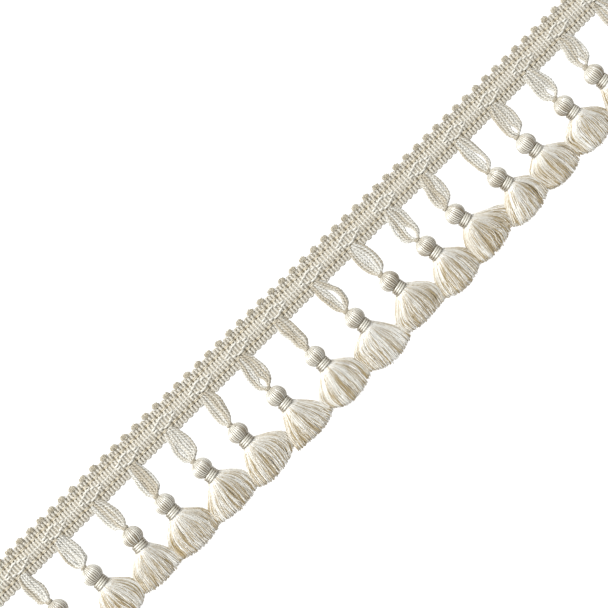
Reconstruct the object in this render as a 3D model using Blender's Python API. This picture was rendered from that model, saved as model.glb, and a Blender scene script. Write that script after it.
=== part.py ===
"""A tassel fringe lying flat: woven heading, hanger loops, bound ball heads and skirts.

The heading runs along X with its face up, and the tassels lie towards -Y. Sizes are in
millimetres until a piece is made. Heights across the heading are measured from the middle of
its lozenges, and places along it from the middle of the row.
"""

import math

import bmesh
import bpy
from mathutils import Vector

MM = 0.001
GAP = 0.35

# The weave repeats once for each tassel, and a repeat holds seven pairs of ribs.
REPEAT = 21.4
PAIRS = 7
RIB = REPEAT / PAIRS / 2

# Heading: edges, binding lines, lozenges and the relief of its face.
UPPER_EDGE = 6.5
PICOT_TOP = 8.4
PICOT_NARROW = 0.82
UPPER_BIND = 3.7
LOWER_BIND = -3.35
LOWER_EDGE = -6.8
SCALLOP = 0.5
EDGE_HEIGHT = 1.75
BIND_HEIGHT = 1.05
FACE_HEIGHT = 1.85
RIB_RISE = 0.5
LOZENGE_HALF_LONG = 6.2
LOZENGE_HALF_WIDE = 2.65
LOZENGE_RISE = 0.45
CENTRE_THREAD_HALF = 0.9

# The notch under a lozenge, where the ribs run on into the hanger loop.
NOTCH_TOP = -4.05
NOTCH_HALF_TOP = 3.1
NOTCH_HALF_LOW = 3.45

# Hanger loop, at its root, at the heading's edge, where it is widest, at its eye and at its tie.
LOOP_ROOT = -4.4
LOOP_WIDEST = -12.7
LOOP_EYE = -16.6
LOOP_ROOT_HALF = 2.75
LOOP_EDGE_HALF = 3.1
LOOP_TIE_HALF = 1.2
LOOP_THICK = 2.0
LOOP_LIFT = 1.3

# Ball head, turned about its own axis. The profile gives places along the axis from the ball's
# middle towards the skirt, with the radius there. Two equal rings make the flat it lies on.
SIDES = 12
BALL_RADIUS = 4.4
HEAD_PROFILE = ((-4.2, 0.9), (-3.1, 3.1), (-1.1, BALL_RADIUS), (1.1, BALL_RADIUS),
                (3.0, 3.1), (3.4, 2.35), (6.9, 2.35), (7.2, 3.3))
BALL_LIFT = BALL_RADIUS * math.cos(math.pi / SIDES)
ROOT_AT = 7.35
ROOT_RADIUS = 3.3
KEEL_RADIUS = 1.3

# Neck binding, a band round the neck.
BAND_SIDES = 8
BAND_FROM = 3.75
BAND_TO = 6.55
BAND_INNER = 2.9
BAND_OUTER = 3.55

# Skirt: stations along a lock, as a share of its length, with the height of the skirt's crown
# and side there, how deep an upper lock's keel hangs, how high a lower lock lies and its ridge.
STATION_COLUMNS = ("along", "crown", "side", "keel", "lie", "ridge")
STATIONS = [dict(zip(STATION_COLUMNS, row)) for row in (
    (0.22, 6.30, 2.90, 2.10, 0.25, 1.70),
    (0.60, 4.50, 1.90, 1.45, 0.00, 1.15),
    (1.00, 3.40, 1.60, 1.25, 0.00, 0.95),
)]
UPPER_LOCKS = 7
LOWER_LOCKS = 5
LOWER_SPREAD = 0.78
SIDE_KEEL = 0.5
BELL = 1.8
HEM_ARC = 2.2

# One row for each tassel from left to right, in millimetres from its own even place in the row:
# the lozenge's shift, the loop's sides where it is widest, the width of its eye, the ball's
# middle, the head's lean in degrees, the skirt's two lower corners and the hem's lowest point.
TASSEL_COLUMNS = ("shift", "loop_left", "loop_right", "eye", "ball_x", "ball_y", "lean",
                  "left_x", "left_y", "right_x", "right_y", "low_y")
TASSELS = [dict(zip(TASSEL_COLUMNS, row)) for row in (
    (0.50, -4.0, 4.0, 0.0, 0.2, -24.2, 3, -9.5, -45.5, 10.2, -44.5, -47.6),
    (0.87, -3.5, 3.8, 0.0, 1.2, -23.9, 2, -9.8, -45.0, 11.0, -44.0, -47.5),
    (0.41, -4.5, 4.1, 0.0, -0.5, -23.9, 5, -9.6, -44.8, 8.6, -41.5, -47.4),
    (-0.20, -3.8, 4.1, 0.0, 0.6, -24.4, -5, -12.4, -44.6, 7.9, -45.9, -47.4),
    (-0.24, -5.3, 2.6, 0.0, -2.2, -24.3, 2, -13.1, -45.3, 7.2, -45.6, -48.2),
    (-0.62, -6.7, 2.8, 0.0, -2.4, -24.8, 8, -13.8, -45.6, 8.3, -46.4, -48.5),
    (-1.00, -6.0, 2.0, 0.0, -3.2, -25.0, 2, -12.7, -47.5, 9.2, -45.7, -49.4),
    (-0.85, -6.6, 3.0, 1.5, -2.5, -25.5, 4, -11.8, -48.3, 10.6, -46.0, -49.3),
    (-0.59, -4.4, 2.4, 0.0, -0.9, -25.2, 2, -9.6, -45.4, 11.0, -46.8, -50.0),
    (0.00, -3.8, 5.1, 1.0, 0.7, -25.7, 7, -9.9, -46.2, 12.1, -48.1, -50.3),
    (0.71, -3.7, 5.1, 0.0, 0.6, -25.1, 10, -8.9, -46.8, 12.8, -46.8, -48.6),
    (1.12, -5.1, 4.9, 2.5, 0.7, -25.6, 9, -8.2, -47.3, 13.9, -45.5, -49.8),
    (0.73, -6.1, 3.8, 0.0, -2.4, -24.7, 15, -7.1, -47.6, 13.9, -42.5, -48.9),
    (0.72, -3.7, 3.8, 1.0, -0.1, -26.3, 14, -7.1, -46.3, 13.9, -45.0, -49.2),
    (0.40, -5.7, 3.7, 1.8, -2.5, -24.9, 10, -7.1, -46.6, 12.2, -44.2, -48.6),
    (-0.20, -5.3, 3.8, 1.8, -0.9, -24.9, 10, -8.8, -45.2, 12.0, -41.5, -47.9),
    (-0.42, -6.2, 3.1, 1.5, -3.4, -24.5, 8, -8.9, -44.0, 11.6, -43.8, -48.1),
    (-0.60, -5.0, 3.6, 0.0, -1.4, -24.6, 7, -9.4, -44.8, 9.2, -44.2, -47.9),
)]
COUNT = len(TASSELS)
STEPS = COUNT * PAIRS * 2
STEPS_A_REPEAT = PAIRS * 2


def clear_scene():
    for old in list(bpy.data.objects):
        bpy.data.objects.remove(old, do_unlink=True)


def material(name, colour, roughness):
    made = bpy.data.materials.new(name)
    made.use_nodes = True
    shader = made.node_tree.nodes["Principled BSDF"]
    shader.inputs["Base Color"].default_value = (*colour, 1.0)
    shader.inputs["Roughness"].default_value = roughness
    shader.inputs["Metallic"].default_value = 0.0
    made.diffuse_color = (*colour, 1.0)
    return made


def home(index):
    """The even place of a tassel along the row."""
    return (index - (COUNT - 1) / 2) * REPEAT


def loop_middle(index):
    """The loop hangs under the gap between two pairs, half a rib from its lozenge's middle."""
    return home(index) + TASSELS[index]["shift"] - RIB / 2


def place_along(step):
    """The place along the heading of a step of half a pair, a little uneven as the weave is."""
    repeats = step / STEPS_A_REPEAT - 0.5
    first = min(max(int(math.floor(repeats)), 0), COUNT - 2)
    if repeats < 0:
        return loop_middle(0) + repeats * REPEAT
    if repeats > COUNT - 1:
        return loop_middle(COUNT - 1) + (repeats - COUNT + 1) * REPEAT
    share = repeats - first
    return loop_middle(first) * (1 - share) + loop_middle(first + 1) * share


def make_object(name, bm, finish, parent):
    bmesh.ops.recalc_face_normals(bm, faces=bm.faces)
    mesh = bpy.data.meshes.new(name)
    bm.to_mesh(mesh)
    bm.free()
    mesh.materials.append(finish)
    made = bpy.data.objects.new(name, mesh)
    bpy.context.collection.objects.link(made)
    made.parent = parent
    return made


def add_ring(bm, points):
    return [bm.verts.new(Vector(point) * MM) for point in points]


def join_rings(bm, first, second, closed=True):
    """Faces between two rings of as many points, and the list of the faces."""
    count = len(first)
    faces = []
    for index in range(count if closed else count - 1):
        after = (index + 1) % count
        faces.append(bm.faces.new((first[index], first[after], second[after], second[index])))
    return faces


# Heading


def lozenge_at(along):
    """Half the height of the lozenge's outline here, and how much the outline stands out."""
    nearest = min(range(COUNT), key=lambda index: abs(along - home(index) - TASSELS[index]["shift"]))
    away = abs(along - home(nearest) - TASSELS[nearest]["shift"])
    slope = min(1.0, (LOZENGE_HALF_LONG - away) / (LOZENGE_HALF_LONG - RIB))
    half = max(CENTRE_THREAD_HALF, LOZENGE_HALF_WIDE * slope)
    return half, LOZENGE_RISE if away < LOZENGE_HALF_LONG else 0.0


def heading_section(step):
    """The heading's outline across at a step, from the lower edge over the face to the upper."""
    along = place_along(step)
    on_ridge = step % 2 == 0
    rise = RIB_RISE if on_ridge else 0.0
    low_y = LOWER_EDGE if on_ridge else LOWER_EDGE + SCALLOP
    low_x = along
    bind_x = along
    # The steps from the middle of the nearest loop tell where the notch is.
    nearest = round((step - STEPS_A_REPEAT / 2) / STEPS_A_REPEAT)
    from_loop = step - STEPS_A_REPEAT // 2 - nearest * STEPS_A_REPEAT
    if 0 <= nearest < COUNT and abs(from_loop) <= 2:
        side = (from_loop > 0) - (from_loop < 0)
        if abs(from_loop) == 2:
            low_x = loop_middle(nearest) + side * NOTCH_HALF_LOW
            bind_x = low_x + side * GAP * 0.2
        else:
            low_y = NOTCH_TOP
            low_x = loop_middle(nearest) + side * NOTCH_HALF_TOP
    half, stands = lozenge_at(along)
    face = FACE_HEIGHT + rise
    return [
        (low_x, low_y, 0.0),
        (low_x, low_y, EDGE_HEIGHT + rise * 0.6),
        (bind_x, LOWER_BIND, BIND_HEIGHT + rise * 1.2),
        (along, -half, face + stands),
        (along, 0.0, face - stands * 0.4),
        (along, half, face + stands),
        (along, UPPER_BIND, BIND_HEIGHT + rise * 1.2),
        (along, UPPER_EDGE, EDGE_HEIGHT + rise * 0.6),
        (along, UPPER_EDGE, 0.0),
    ]


def add_picot(bm, faces):
    """A knob of the weft, drawn out from the two wall faces of the upper edge at a pair's gap."""
    grown = bmesh.ops.extrude_face_region(bm, geom=faces)
    bmesh.ops.delete(bm, geom=faces, context="FACES_ONLY")
    points = [part for part in grown["geom"] if isinstance(part, bmesh.types.BMVert)]
    middle = sum(point.co.x for point in points) / len(points)
    for point in points:
        is_middle = abs(point.co.x - middle) < RIB * MM / 2
        out = PICOT_TOP - UPPER_EDGE if is_middle else (PICOT_TOP - UPPER_EDGE) * 0.8
        point.co.y += out * MM
        point.co.x = middle + (point.co.x - middle) * PICOT_NARROW


def build_heading(finish, parent):
    bm = bmesh.new()
    rings = [add_ring(bm, heading_section(step)) for step in range(STEPS + 1)]
    upper_walls = {}
    for step in range(STEPS):
        strips = join_rings(bm, rings[step], rings[step + 1])
        upper_walls[step] = strips[-2]
    bm.faces.new(rings[0])
    bm.faces.new(rings[-1])
    for step in range(3, STEPS, 4):
        add_picot(bm, [upper_walls[step - 1], upper_walls[step]])
    bmesh.ops.triangulate(bm, faces=bm.faces[:])
    return make_object("heading", bm, finish, parent)


# Hanger loops


def cord_ring(outer, inner, middle, thick):
    """A flattened section between a leg's outer and inner side, with two rounds on each face."""
    across = [(0.0, 0.0), (0.22, 0.5), (0.72, 0.5), (1.0, 0.0), (0.72, -0.5), (0.22, -0.5)]
    return [(outer[0] + (inner[0] - outer[0]) * share, outer[1] + (inner[1] - outer[1]) * share,
             middle + thick * up) for share, up in across]


def pole_of(index):
    """Where the tassel's cord leaves the top of its ball."""
    row = TASSELS[index]
    lean = math.radians(row["lean"])
    out = -HEAD_PROFILE[0][0] + GAP
    return home(index) + row["ball_x"] - math.sin(lean) * out, row["ball_y"] + math.cos(lean) * out


def build_loop(index, finish, parent):
    row = TASSELS[index]
    middle = loop_middle(index)
    pole_x, pole_y = pole_of(index)
    left = home(index) + row["loop_left"]
    right = home(index) + row["loop_right"]
    split = (left + right) / 2
    near = 0.55
    eye_left = pole_x + (left - pole_x) * near - row["eye"] * 0.25
    eye_right = pole_x + (right - pole_x) * near + row["eye"] * 0.25
    eye_split = pole_x + (split - pole_x) * near
    turn = LOOP_TIE_HALF * 0.85
    # Each station: place down the loop, outer left, outer right, split, gap, height and thickness.
    stations = [
        (LOOP_ROOT, middle - LOOP_ROOT_HALF, middle + LOOP_ROOT_HALF, middle, GAP, LOOP_LIFT, 1.0),
        (LOWER_EDGE, middle - LOOP_EDGE_HALF, middle + LOOP_EDGE_HALF, middle, GAP, LOOP_LIFT, 1.0),
        (LOOP_WIDEST, left, right, split, GAP + row["eye"] * 0.4, LOOP_LIFT + 0.6, 1.1),
        (LOOP_EYE, eye_left, eye_right, eye_split, GAP + row["eye"], LOOP_LIFT + 1.6, 1.0),
        (pole_y + turn, pole_x - LOOP_TIE_HALF, pole_x + LOOP_TIE_HALF, pole_x, GAP,
         BALL_LIFT - 0.2, 0.85),
    ]
    down = []
    up = []
    for place, outer_left, outer_right, parting, gap, height, thick in stations:
        left_leg = cord_ring((outer_left, place), (parting - gap / 2, place), height,
                             LOOP_THICK * thick)
        right_leg = cord_ring((outer_right, place), (parting + gap / 2, place), height,
                              LOOP_THICK * thick)
        down.append(left_leg)
        up.append(right_leg)
    bend = cord_ring((pole_x, pole_y), (pole_x, pole_y + turn), BALL_LIFT, LOOP_THICK * 0.8)
    bm = bmesh.new()
    rings = [add_ring(bm, points) for points in down + [bend] + up[::-1]]
    for first, second in zip(rings, rings[1:]):
        join_rings(bm, first, second)
    bm.faces.new(rings[0])
    bm.faces.new(rings[-1])
    bmesh.ops.triangulate(bm, faces=bm.faces[:])
    return make_object(f"loop_{index + 1:02d}", bm, finish, parent)


# Ball heads, neck bindings and skirts


class HeadFrame:
    """The lying head's own directions: along its axis to the skirt, across it, and up."""

    def __init__(self, index):
        row = TASSELS[index]
        lean = math.radians(row["lean"])
        self.middle = Vector((home(index) + row["ball_x"], row["ball_y"], BALL_LIFT))
        self.along = Vector((math.sin(lean), -math.cos(lean), 0.0))
        self.across = Vector((math.cos(lean), math.sin(lean), 0.0))

    def point(self, along, radius, degrees):
        angle = math.radians(degrees)
        return (self.middle + self.along * along + self.across * (radius * math.cos(angle))
                + Vector((0.0, 0.0, radius * math.sin(angle))))

    def ring(self, along, radius, sides=SIDES):
        turn = 360.0 / sides
        return [self.point(along, radius, 90 + turn / 2 - turn * side) for side in range(sides)]


def skirt_point(index, frame, share, side):
    """A place in plan, share of the way down the skirt, side from -1 at its left to 1 at its right."""
    row = TASSELS[index]
    root = frame.middle + frame.along * ROOT_AT + frame.across * (ROOT_RADIUS * side)
    left = home(index) + row["left_x"]
    right = home(index) + row["right_x"]
    corner_y = row["left_y"] if side < 0 else row["right_y"]
    end_x = (left + right) / 2 + (right - left) / 2 * side
    end_y = row["low_y"] + (corner_y - row["low_y"]) * abs(side) ** HEM_ARC
    spread = 1 - (1 - share) ** BELL
    return root.x + (end_x - root.x) * spread, root.y + (end_y - root.y) * share


def lock_sides(sector):
    """The sides of the skirt between which a sector's lock spreads, and whether it lies on top."""
    turned = (sector + SIDES // 4) % SIDES
    if turned < UPPER_LOCKS:
        width = 2 / UPPER_LOCKS
        first = -1 + width * turned
    else:
        width = -2 * LOWER_SPREAD / LOWER_LOCKS
        first = LOWER_SPREAD + width * (turned - UPPER_LOCKS)
    return first, first + width, turned < UPPER_LOCKS


def lock_section(index, frame, station, sides):
    """The three corners of a lock's section at a station: its two outer corners and its keel."""
    first, second, upper = sides
    start = Vector(skirt_point(index, frame, station["along"], first))
    end = Vector(skirt_point(index, frame, station["along"], second))
    inset = (end - start).normalized() * (GAP / 2)
    start += inset
    end -= inset
    middle = (start + end) / 2

    def crown(side):
        return station["side"] + (station["crown"] - station["side"]) * (1 - side * side)

    if upper:
        between = (first + second) / 2
        keel = crown(between) - station["keel"] * (1 - SIDE_KEEL * between * between)
        heights = (crown(first), crown(second), keel)
    else:
        heights = (station["lie"], station["lie"], station["lie"] + station["ridge"])
    return [(*place, height) for place, height in zip((start, end, middle), heights)]


def draw_lock(bm, root, sections, first_inner):
    """A lock from its root's corners through each section to its cut end."""
    first, second, keel = root
    for section in sections:
        next_first, next_second, next_keel = add_ring(bm, section)
        # The outer wall folds from the corner nearer the skirt's middle to the next outer one.
        if first_inner:
            bm.faces.new((first, second, next_second))
            bm.faces.new((first, next_second, next_first))
        else:
            bm.faces.new((first, second, next_first))
            bm.faces.new((second, next_second, next_first))
        # The side walls fold from an outer corner to the next keel, clear of the next lock.
        bm.faces.new((second, keel, next_keel))
        bm.faces.new((second, next_keel, next_second))
        bm.faces.new((keel, first, next_keel))
        bm.faces.new((first, next_first, next_keel))
        first, second, keel = next_first, next_second, next_keel
    bm.faces.new((first, second, keel))


def build_tassel(index, finish, parent):
    frame = HeadFrame(index)
    bm = bmesh.new()
    rings = [add_ring(bm, frame.ring(along, radius)) for along, radius in HEAD_PROFILE]
    bm.faces.new(rings[0])
    for first, second in zip(rings, rings[1:]):
        join_rings(bm, first, second)
    last = rings[-1]
    keels = add_ring(bm, [frame.point(ROOT_AT, KEEL_RADIUS, 90 - 360 / SIDES * sector)
                          for sector in range(SIDES)])
    bm.faces.new(keels)
    # Each sector of the neck's end is the root of one lock, with a narrow web to the next.
    for sector in range(SIDES):
        after = (sector + 1) % SIDES
        bm.faces.new((last[after], keels[after], keels[sector]))
        sides = lock_sides(sector)
        sections = [lock_section(index, frame, station, sides) for station in STATIONS]
        draw_lock(bm, (last[sector], last[after], keels[sector]), sections,
                  abs(sides[0]) < abs(sides[1]))
    bmesh.ops.triangulate(bm, faces=bm.faces[:])
    made = make_object(f"tassel_{index + 1:02d}", bm, finish, parent)
    made.data.shade_smooth()
    made.data.set_sharp_from_angle(angle=math.radians(35))
    return made


def build_binding(index, finish, parent):
    frame = HeadFrame(index)
    bm = bmesh.new()
    corners = ((BAND_FROM, BAND_INNER), (BAND_FROM, BAND_OUTER), (BAND_TO, BAND_OUTER),
               (BAND_TO, BAND_INNER))
    rings = [add_ring(bm, frame.ring(along, radius, BAND_SIDES)) for along, radius in corners]
    for first, second in zip(rings, rings[1:] + rings[:1]):
        join_rings(bm, first, second)
    bmesh.ops.triangulate(bm, faces=bm.faces[:])
    return make_object(f"binding_{index + 1:02d}", bm, finish, parent)


def stand_on_origin(root, pieces):
    """Move the whole fringe so that the middle of its box stands on the origin."""
    corners = [vertex.co for piece in pieces for vertex in piece.data.vertices]
    for axis in (0, 1):
        places = [corner[axis] for corner in corners]
        root.location[axis] = -(min(places) + max(places)) / 2
    root.location.z = -min(corner.z for corner in corners)


def main():
    clear_scene()
    root = bpy.data.objects.new("fringe", None)
    bpy.context.collection.objects.link(root)
    braid = material("woven_ivory_yarn", (0.72, 0.67, 0.56), 0.75)
    cord = material("twisted_ivory_cord", (0.74, 0.70, 0.62), 0.6)
    floss = material("silky_ivory_floss", (0.76, 0.72, 0.62), 0.45)
    band = material("bright_binding_thread", (0.80, 0.76, 0.68), 0.35)
    pieces = [build_heading(braid, root)]
    for index in range(COUNT):
        pieces.append(build_loop(index, cord, root))
        pieces.append(build_tassel(index, floss, root))
        pieces.append(build_binding(index, band, root))
    stand_on_origin(root, pieces)


main()
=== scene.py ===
import math

import bpy
import numpy as np
from mathutils import Euler, Matrix, Vector


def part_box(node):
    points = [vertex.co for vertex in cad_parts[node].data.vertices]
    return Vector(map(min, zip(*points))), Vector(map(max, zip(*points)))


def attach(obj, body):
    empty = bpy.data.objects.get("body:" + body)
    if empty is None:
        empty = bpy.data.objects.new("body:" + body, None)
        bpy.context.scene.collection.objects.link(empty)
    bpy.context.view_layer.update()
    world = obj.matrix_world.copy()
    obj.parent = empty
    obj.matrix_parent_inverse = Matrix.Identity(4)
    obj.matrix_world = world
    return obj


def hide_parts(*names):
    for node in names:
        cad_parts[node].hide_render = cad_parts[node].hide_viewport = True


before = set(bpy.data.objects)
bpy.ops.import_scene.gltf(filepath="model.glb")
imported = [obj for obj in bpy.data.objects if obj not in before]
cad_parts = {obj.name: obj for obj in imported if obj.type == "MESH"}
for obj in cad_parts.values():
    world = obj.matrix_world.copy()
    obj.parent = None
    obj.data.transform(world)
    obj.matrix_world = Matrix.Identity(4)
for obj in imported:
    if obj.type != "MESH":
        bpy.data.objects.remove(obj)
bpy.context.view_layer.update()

bpy.ops.object.select_all(action="DESELECT")


# Camera. The fringe was photographed from almost straight above, running from the lower left
# of the picture to the upper right, with a long lens about 0.6 m away.

CAMERA_LENS = 85.0
CAMERA_SENSOR = 36.0
CAMERA_NEAREST = 0.01
CAMERA_PLACE = (-0.04277, 0.02913, 0.60054)
CAMERA_TURNS = (2.0007, -3.9855, -44.9718)

camera = bpy.data.objects.new("camera", bpy.data.cameras.new("camera"))
bpy.context.collection.objects.link(camera)
camera.data.lens = CAMERA_LENS
camera.data.sensor_width = CAMERA_SENSOR
camera.data.clip_start = CAMERA_NEAREST
camera.location = CAMERA_PLACE
camera.rotation_euler = Euler([math.radians(turn) for turn in CAMERA_TURNS])
bpy.context.scene.camera = camera


# Studio. A white sweep that glows a little, a soft fill, and two large soft lamps on the
# heading's picot side, which throw the shade of every rib and thread towards the skirts.

WHITE = (1.0, 1.0, 1.0)
SWEEP_SIZE = 6.0
SWEEP_DROP = 0.0002
SWEEP_GREY = (0.3, 0.3, 0.3)
SWEEP_GLOW = 0.95
FILL_LOW = 0.57
FILL_HIGH = 1.54
FILL_FROM = (-0.60, 0.60, -0.53)
BACKGROUND_GLOW = 1.0
# Each lamp's name, its place and size in metres, and its power in watts.
LAMPS = (("key", (-0.85, 1.00, 1.15), 0.9, 20.5), ("side", (-1.50, 0.75, 0.50), 1.2, 8.0))


class Number:
    """A number in a material's nodes, so that shader maths is written as plain expressions."""

    def __init__(self, finish, socket):
        self.finish, self.socket = finish, socket

    def worked(self, operation, *values):
        made = self.finish.node("ShaderNodeMath", {"operation": operation},
                                dict(enumerate(values)))
        return Number(self.finish, made.outputs[0])

    def sine(self):
        return self.worked("SINE", self)

    def __add__(self, other):
        return self.worked("ADD", self, other)

    def __radd__(self, other):
        return self.worked("ADD", other, self)

    def __sub__(self, other):
        return self.worked("SUBTRACT", self, other)

    def __rsub__(self, other):
        return self.worked("SUBTRACT", other, self)

    def __mul__(self, other):
        return self.worked("MULTIPLY", self, other)

    def __rmul__(self, other):
        return self.worked("MULTIPLY", other, self)


class Finish:
    """The nodes of a material or of the world. Every node comes from node()."""

    def __init__(self, owner, shader="Principled BSDF"):
        owner.use_nodes = True
        self.owner, self.tree = owner, owner.node_tree
        self.shader = self.tree.nodes[shader]

    def node(self, kind, settings=None, sockets=None):
        made = self.tree.nodes.new(kind)
        for name, value in (settings or {}).items():
            setattr(made, name, value)
        self.join(made, sockets or {})
        return made

    def join(self, made, sockets):
        """Gives a node's sockets their values, colours among them, or their links."""
        for name, value in sockets.items():
            socket = made.inputs[name]
            if isinstance(value, Number):
                value = value.socket
            if isinstance(value, bpy.types.NodeSocket):
                self.tree.links.new(value, socket)
            elif socket.type == "RGBA":
                socket.default_value = (*value, 1.0)
            else:
                socket.default_value = value

    def attribute(self, name):
        made = self.node("ShaderNodeAttribute", {"attribute_name": name})
        return Number(self, made.outputs["Fac"])

    def cloud(self, scale, detail=3.0):
        """Soft uneven patches from 0 to 1, smaller where the scale is higher."""
        space = self.node("ShaderNodeTexCoord").outputs["Object"]
        made = self.node("ShaderNodeTexNoise", {"noise_dimensions": "3D"},
                         {"Vector": space, "Scale": scale, "Detail": detail})
        return Number(self, made.outputs["Fac"])

    def blend(self, share, first, second):
        """The colour between two colours, by a share."""
        made = self.node("ShaderNodeMix", {"data_type": "RGBA"},
                         {"Factor": share, 6: first, 7: second})
        return made.outputs[2]

    def within(self, number):
        """A number kept between 0 and 1."""
        made = self.node("ShaderNodeMapRange", {"clamp": True}, {"Value": number})
        return Number(self, made.outputs["Result"])

    def bump(self, height, strength, distance):
        made = self.node("ShaderNodeBump", {}, {"Strength": strength, "Distance": distance,
                                                "Height": height})
        return made.outputs["Normal"]


def make_sweep():
    bpy.ops.mesh.primitive_plane_add(size=SWEEP_SIZE, location=(0.0, 0.0, -SWEEP_DROP))
    sweep = bpy.context.object
    sweep.name = "sweep"
    white = Finish(bpy.data.materials.new("white_sweep"))
    white.join(white.shader, {"Base Color": SWEEP_GREY, "Roughness": 0.9,
                              "Emission Color": WHITE, "Emission Strength": SWEEP_GLOW})
    sweep.data.materials.append(white.owner)
    sweep.visible_diffuse = False


def make_lamp(name, place, size, power):
    lamp = bpy.data.objects.new(name, bpy.data.lights.new(name, "AREA"))
    bpy.context.collection.objects.link(lamp)
    lamp.data.shape = "DISK"
    lamp.data.size = size
    lamp.data.energy = power
    lamp.location = place
    lamp.rotation_mode = "QUATERNION"
    lamp.rotation_quaternion = (-Vector(place)).to_track_quat("-Z", "Y")


def make_world():
    """A soft fill, brightest from the picture's left and from below. Bare sky shows as white."""
    world = Finish(bpy.data.worlds.new("fill"), "Background")
    bpy.context.scene.world = world.owner
    way = world.node("ShaderNodeTexCoord").outputs["Generated"]
    towards = world.node("ShaderNodeVectorMath", {"operation": "DOT_PRODUCT"},
                         {0: way, 1: FILL_FROM})
    fill = world.node("ShaderNodeMapRange", {}, {
        "Value": towards.outputs["Value"], "From Min": -1.0, "From Max": 1.0,
        "To Min": FILL_LOW, "To Max": FILL_HIGH})
    world.join(world.shader, {"Color": WHITE, "Strength": fill.outputs["Result"]})
    plain = world.node("ShaderNodeBackground", {}, {"Color": WHITE,
                                                    "Strength": BACKGROUND_GLOW})
    seen = world.node("ShaderNodeLightPath").outputs["Is Camera Ray"]
    shown = world.node("ShaderNodeMixShader", {}, {
        0: seen, 1: world.shader.outputs[0], 2: plain.outputs[0]})
    world.join(world.tree.nodes["World Output"], {"Surface": shown.outputs[0]})


make_sweep()
make_world()
for lamp_row in LAMPS:
    make_lamp(*lamp_row)
bpy.context.scene.view_settings.view_transform = "Standard"


# Ground cloth of the heading. A thin tan web of fine warp and weft, woven on a narrow loom,
# which holds the thick ribs from below and shows dark in the dimples between their pairs.

# Sizes from here on are in millimetres: along the heading from the middle of the row, across
# it from the lozenges' middle line, and up from the table. A step is half a pair of ribs.
MM = 0.001
REPEAT = 21.4
PAIRS = 7
COUNT = 18
RIB = REPEAT / PAIRS / 2
STEPS_A_REPEAT = PAIRS * 2
STEPS = COUNT * STEPS_A_REPEAT
PICOT_TOP = 8.4
# How far each lozenge is from its tassel's even place, which the weave is fitted to.
LOZENGE_SHIFTS = (0.50, 1.09, 0.68, 0.28, -0.06, -0.26, -0.41, -0.27, -0.02,
                  0.42, 1.01, 1.32, 1.18, 0.77, 0.26, -0.16, -0.29, -0.35)
GROUND_LOW = -6.4
GROUND_HIGH = 6.1
GROUND_END_STEPS = 0.2
GROUND_ROWS = 30
GROUND_THICK = 0.25
UPPER_BIND = 3.7
LOWER_BIND = -3.05
# How high the cloth lies across the heading, as (place across, height).
GROUND_HEIGHTS = ((-6.4, 0.70), (-5.6, 0.90), (-4.6, 1.05), (-3.05, 0.55), (-2.1, 1.35),
                  (0.0, 1.50), (2.6, 1.35), (3.7, 0.55), (4.7, 1.05), (5.6, 0.90), (6.1, 0.75))
WEAVE_SCALE = 420.0
WEAVE_UNEVEN = 1.5
WEB_SHADED = (0.42, 0.375, 0.29)
WEB_TAN = (0.60, 0.56, 0.47)
WEB_BROWN = (0.23, 0.145, 0.055)
BROWN_WIDTH = 0.42

HOMES = (np.arange(COUNT) - (COUNT - 1) / 2) * REPEAT
NOTCH_MIDDLES = HOMES + LOZENGE_SHIFTS - RIB / 2


def place_along(step):
    """The place along the heading of a step of half a pair, a little uneven as the weave is."""
    whole = np.concatenate(([NOTCH_MIDDLES[0] - REPEAT], NOTCH_MIDDLES,
                            [NOTCH_MIDDLES[-1] + REPEAT]))
    return np.interp(np.asarray(step) / STEPS_A_REPEAT - 0.5, np.arange(-1, COUNT + 1), whole)


heading_low, heading_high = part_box("heading")
ORIGIN = np.array((heading_low.x / MM - place_along(0), heading_high.y / MM - PICOT_TOP, 0.0))


def placed(points):
    """Points in millimetres from the middle of the row, as places in the frame, in metres."""
    return (np.asarray(points) + ORIGIN) * MM


def drawn(knots, at):
    """A smooth line through knots: first column the place, the others what is read there."""
    knots = np.asarray(knots, float)
    place, value = knots[:, 0], knots[:, 1:]
    slope = np.gradient(value, place, axis=0)
    index = np.clip(np.searchsorted(place, at, side="right") - 1, 0, len(place) - 2)
    width = (place[index + 1] - place[index])[..., None]
    share = np.clip((np.asarray(at) - place[index])[..., None] / width, 0.0, 1.0)
    line = ((2 * share ** 3 - 3 * share ** 2 + 1) * value[index]
            + (share ** 3 - 2 * share ** 2 + share) * width * slope[index]
            + (3 * share ** 2 - 2 * share ** 3) * value[index + 1]
            + (share ** 3 - share ** 2) * width * slope[index + 1])
    return line if value.shape[1] > 1 else line[..., 0]


def near_binding(across, width):
    """1 on the two lines where the binding warps run, fading to 0 beside them."""
    return sum(np.exp(-((across - line) / width) ** 2) for line in (UPPER_BIND, LOWER_BIND))


def vertices_of(mesh):
    found = np.empty(len(mesh.vertices) * 3, np.float32)
    mesh.vertices.foreach_get("co", found)
    return found.reshape(-1, 3).astype(float)


def move_vertices(mesh, places):
    mesh.vertices.foreach_set("co", places.astype(np.float32).ravel())
    mesh.update()


def give_values(mesh, name, values):
    """Keeps a number for each vertex, which the piece's material reads by its name."""
    found = mesh.attributes.new(name, "FLOAT", "POINT")
    found.data.foreach_set("value", values.astype(np.float32))


def finish_piece(piece, finish, replaced=()):
    piece.data.materials.clear()
    piece.data.materials.append(finish)
    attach(piece, "root")
    if replaced:
        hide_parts(*replaced)


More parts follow.
